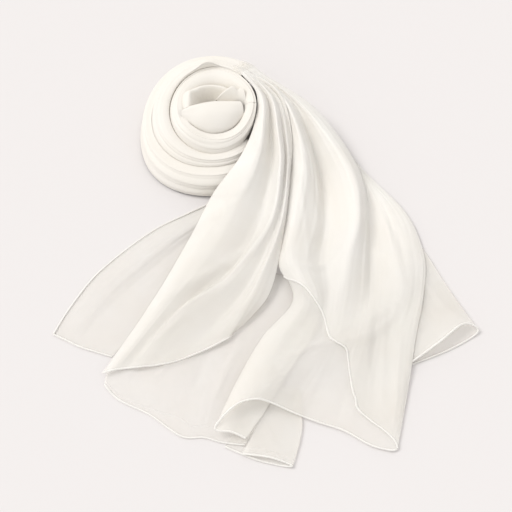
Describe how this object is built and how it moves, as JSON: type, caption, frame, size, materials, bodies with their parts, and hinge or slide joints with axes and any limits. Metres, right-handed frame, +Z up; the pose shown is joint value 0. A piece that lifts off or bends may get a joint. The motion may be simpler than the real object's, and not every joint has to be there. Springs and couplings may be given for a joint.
{
  "type": "chiffon shawl",
  "caption": "Sheer chiffon shawl laid flat, with an end wound into a coil and the rest fanned out in soft pleats to narrow rolled hems.",
  "frame": {"origin": "centre of the shawl's bounding box, on the surface it lies on", "axes": "+Z up off the surface, +X to the right and +Y away from the viewer, towards the coil"},
  "size_m": [0.5786, 0.6268, 0.0914],
  "materials": {
    "chiffon": "sheer ivory chiffon, matt with a faint sheen"
  },
  "bodies": {
    "root": {"heart_front_petal": "chiffon", "heart_right_petal": "chiffon", "heart_left_petal": "chiffon", "heart_inner_folds": "chiffon", "coil_first_turn": "chiffon", "coil_second_turn": "chiffon", "coil_third_turn": "chiffon", "neck_inner_folds": "chiffon", "left_under": "chiffon", "right_under": "chiffon", "front_under": "chiffon", "front_left": "chiffon", "front_right": "chiffon", "right_top": "chiffon", "left_flap": "chiffon"}
  },
  "joints": []
}
